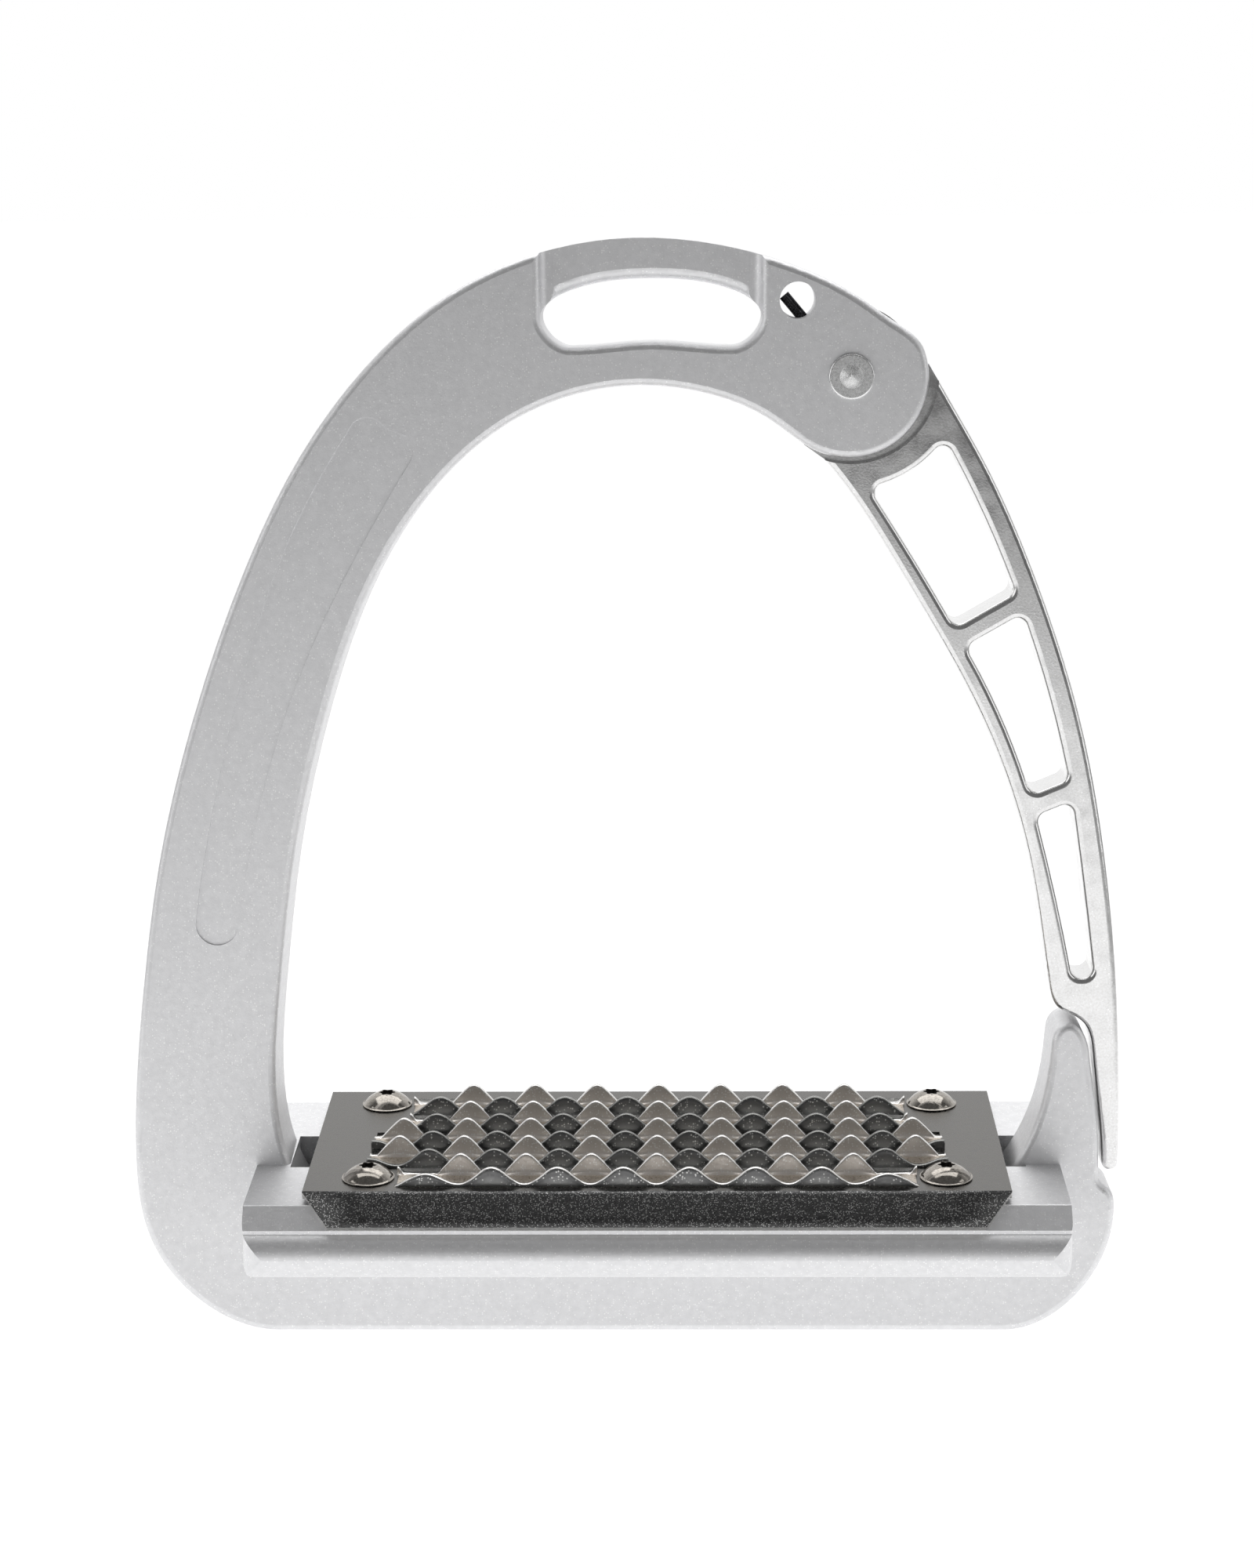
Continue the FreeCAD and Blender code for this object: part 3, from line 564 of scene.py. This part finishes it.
def makeGripPlate():
    bm = bmesh.new()
    layer = bm.verts.layers.float.new("rise")
    rows, slots = plateRows()
    addSheet(bm, rows, slots)
    for row in rows:
        addRow(bm, layer, *row, row is rows[-1])
    mesh = bpy.data.meshes.new("gripPlate")
    bm.normal_update()
    bm.to_mesh(mesh)
    bm.free()
    for mat in plateMats.values():
        mesh.materials.append(mat)
    return mesh


plateMesh = makeGripPlate()
addPiece("gripPlate", plateMesh, "iron", "plate_steel", "grip_plate")
print("grip plate:", len(plateMesh.vertices), "points")


gripScrew = {
    "headRadius": 4.15,
    "headHeight": 2.3,
    "shankRadius": 2.0,
    "length": 10.3,
    "axis": 0.02,
    "domeSteps": 14,
    "edgeInset": 0.12,
    "socketRadius": 1.2,
    "socketLobe": 0.16,
    "socketDepth": 1.2,
    "lobes": 6,
    "segments": 96,
}


def screwProfile():
    # (radius, height, in the socket) from the socket's bottom, over the dome, down the shank
    screw = gripScrew
    head, height, inner = screw["headRadius"], screw["headHeight"], screw["socketRadius"]
    axis, depth = screw["axis"], screw["socketDepth"]
    ball = (head ** 2 + height ** 2) / (2 * height)
    dome = []
    for k in range(screw["domeSteps"] + 1):
        r = inner + (head - screw["edgeInset"] - inner) * k / screw["domeSteps"]
        dome.append((r, math.sqrt(ball ** 2 - r ** 2) - (ball - height), False))
    top, edge = dome[0][1], dome[-1][1]
    socket = [
        (axis, top - depth - 0.3, True),
        (inner * 0.55, top - depth, True),
        (inner * 0.98, top - depth, True),
        (inner * 0.98, top - 0.18, True),
    ]
    rim = [
        (head - 0.02, edge * 0.6 + 0.1, False),
        (head, 0.25, False),
        (head - 0.06, 0.08, False),
        (head - 0.25, 0.0, False),
    ]
    shank = screw["shankRadius"]
    stem = [(shank, 0.0, False), (shank, -screw["length"], False), (axis, -screw["length"], False)]
    return socket + dome + rim + stem


def lobeAt(r, turn):
    # the six lobes are full at the socket's wall and fade out on both sides of it
    inner = gripScrew["socketRadius"]
    if not inner * 0.6 < r < inner * 1.6:
        return 1.0
    near = max(0.0, 1 - abs(r - inner) / (0.6 * inner))
    return 1 + gripScrew["socketLobe"] * near * math.cos(gripScrew["lobes"] * turn)


def makeScrew(name, box):
    low, high = box
    count = gripScrew["segments"]
    # the head's seat lies in the plate's top face, so the box gives only the two places on it
    across = ((low.x + high.x) / 2 - treadPoint.x) / mm
    back = (high.y - treadPoint.y) / math.cos(lean) / mm - gripScrew["headRadius"]
    bm = bmesh.new()
    rings = []
    for r, h, inside in screwProfile():
        ring = []
        for k in range(count):
            turn = 2 * math.pi * k / count
            reach = r * lobeAt(r, turn)
            x, u = across + reach * math.cos(turn), back + reach * math.sin(turn)
            ring.append(bm.verts.new(onPlate(x, u, h)))
        rings.append((ring, inside))
    for (first, inside), (second, _) in zip(rings, rings[1:]):
        for k in range(count):
            after = (k + 1) % count
            face = bm.faces.new((first[k], first[after], second[after], second[k]))
            face.smooth = True
            # faces inside the socket take the second slot, the socket's painted shade
            face.material_index = int(inside)
    bm.faces.new(list(reversed(rings[0][0]))).material_index = 1
    bm.faces.new(rings[-1][0])
    bmesh.ops.recalc_face_normals(bm, faces=bm.faces)
    mesh = bpy.data.meshes.new(name)
    bm.to_mesh(mesh)
    bm.free()
    mesh.materials.append(screwMat)
    mesh.materials.append(socketShadeMat)
    return mesh


for corner in ("front_left", "front_right", "rear_left", "rear_right"):
    node = "grip_screw_" + corner
    name = "gripScrew" + "".join(part.capitalize() for part in corner.split("_"))
    addPiece(name, makeScrew(name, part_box(node)), "iron", "screw_steel", node)
print("screws in")


studio = {
    "floorFront": -1.6,
    "floorBack": 30.0,
    "floorHalf": 30.0,
    "floorTone": 0.3,
    "floorGlow": 0.86,
    "sideGlow": 0.16,
    "sideNear": 0.22,
    "sideFar": 0.42,
    "sideSlope": 0.22,
    "turnFrom": 0.1,
    "turnTo": 0.7,
    "backTone": 1.0,
    "frontTone": 0.15,
}
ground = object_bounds()[0][2]

floorMesh = bpy.data.meshes.new("paperFloor")
x, y0, y1 = studio["floorHalf"], studio["floorFront"], studio["floorBack"]
corners = [(-x, y0, ground), (x, y0, ground), (x, y1, ground), (-x, y1, ground)]
floorMesh.from_pydata(corners, [], [(0, 1, 2, 3)])
floor = bpy.data.objects.new("paperFloor", floorMesh)
bpy.context.scene.collection.objects.link(floor)
mat, tree, skin = newMaterial("palePaper")
paper = noise(tree, millimetres(tree), 30.0, 2)
tone = studio["floorTone"]
base = mixColour(tree, paper, (tone, tone, tone), (tone - 0.01, tone - 0.01, tone - 0.01))
tree.links.new(base, skin.inputs["Base Color"])
skin.inputs["Roughness"].default_value = 0.9
skin.inputs["Emission Color"].default_value = (1, 1, 1, 1)
# the paper glows under the iron and behind it, and is dimmer far out to the sides
coord = tree.nodes.new("ShaderNodeTexCoord")
split = tree.nodes.new("ShaderNodeSeparateXYZ")
tree.links.new(coord.outputs["Object"], split.inputs[0])
aside = tree.nodes.new("ShaderNodeMath")
aside.operation = "ABSOLUTE"
tree.links.new(split.outputs["X"], aside.inputs[0])
spread = tree.nodes.new("ShaderNodeMath")
spread.operation = "MULTIPLY_ADD"
spread.inputs[1].default_value = -studio["sideSlope"]
tree.links.new(split.outputs["Y"], spread.inputs[0])
tree.links.new(aside.outputs[0], spread.inputs[2])
near, far = studio["sideNear"], studio["sideFar"]
glow = remap(tree, spread.outputs[0], near, far, studio["floorGlow"], studio["sideGlow"])
tree.links.new(glow, skin.inputs["Emission Strength"])
floorMesh.materials.append(mat)

world = bpy.data.worlds.new("studioRoom")
bpy.context.scene.world = world
world.use_nodes = True
tree = world.node_tree
tree.nodes.clear()
out = tree.nodes.new("ShaderNodeOutputWorld")
back = tree.nodes.new("ShaderNodeBackground")
tree.links.new(back.outputs[0], out.inputs[0])
coord = tree.nodes.new("ShaderNodeTexCoord")
split = tree.nodes.new("ShaderNodeSeparateXYZ")
tree.links.new(coord.outputs["Generated"], split.inputs[0])
# the room is pale behind the iron and dim on the side the camera stands
turned = studio["turnFrom"], studio["turnTo"]
tone = remap(tree, split.outputs["Y"], *turned, studio["frontTone"], studio["backTone"])
tree.links.new(tone, back.inputs["Color"])
back.inputs["Strength"].default_value = 1.0


def softbox(name, place, aim, width, height, power, colour=(1, 1, 1)):
    lamp = bpy.data.lights.new(name, "AREA")
    lamp.shape = "RECTANGLE"
    lamp.size, lamp.size_y = width, height
    lamp.energy = power
    lamp.color = colour
    holder = bpy.data.objects.new(name, lamp)
    holder.location = place
    holder.rotation_euler = (Vector(aim) - Vector(place)).to_track_quat("-Z", "Y").to_euler()
    bpy.context.scene.collection.objects.link(holder)
    return holder


softbox("topBox", (0.0, 0.30, 1.0), (0, 0, -0.1), 1.6, 0.9, 7)
softbox("leftBox", (-1.1, -0.35, 0.25), (0, 0, -0.08), 0.7, 1.0, 2.6)
softbox("rightBox", (1.1, -0.25, 0.25), (0, 0, -0.08), 0.6, 1.0, 1.8)

camera = bpy.data.cameras.new("camera")
camera.sensor_fit = "VERTICAL"
camera.sensor_height = 36.0
camera.lens = 77.4
camera.clip_start = 0.01
camera.clip_end = 100.0
cameraObject = bpy.data.objects.new("camera", camera)
cameraObject.location = (0.00688, -0.52939, 0.01246)
cameraObject.rotation_euler = [math.radians(a) for a in (80.114, 0.395, 1.142)]
bpy.context.scene.collection.objects.link(cameraObject)
bpy.context.scene.camera = cameraObject
bpy.context.scene.view_settings.view_transform = "Standard"
print("studio ready")
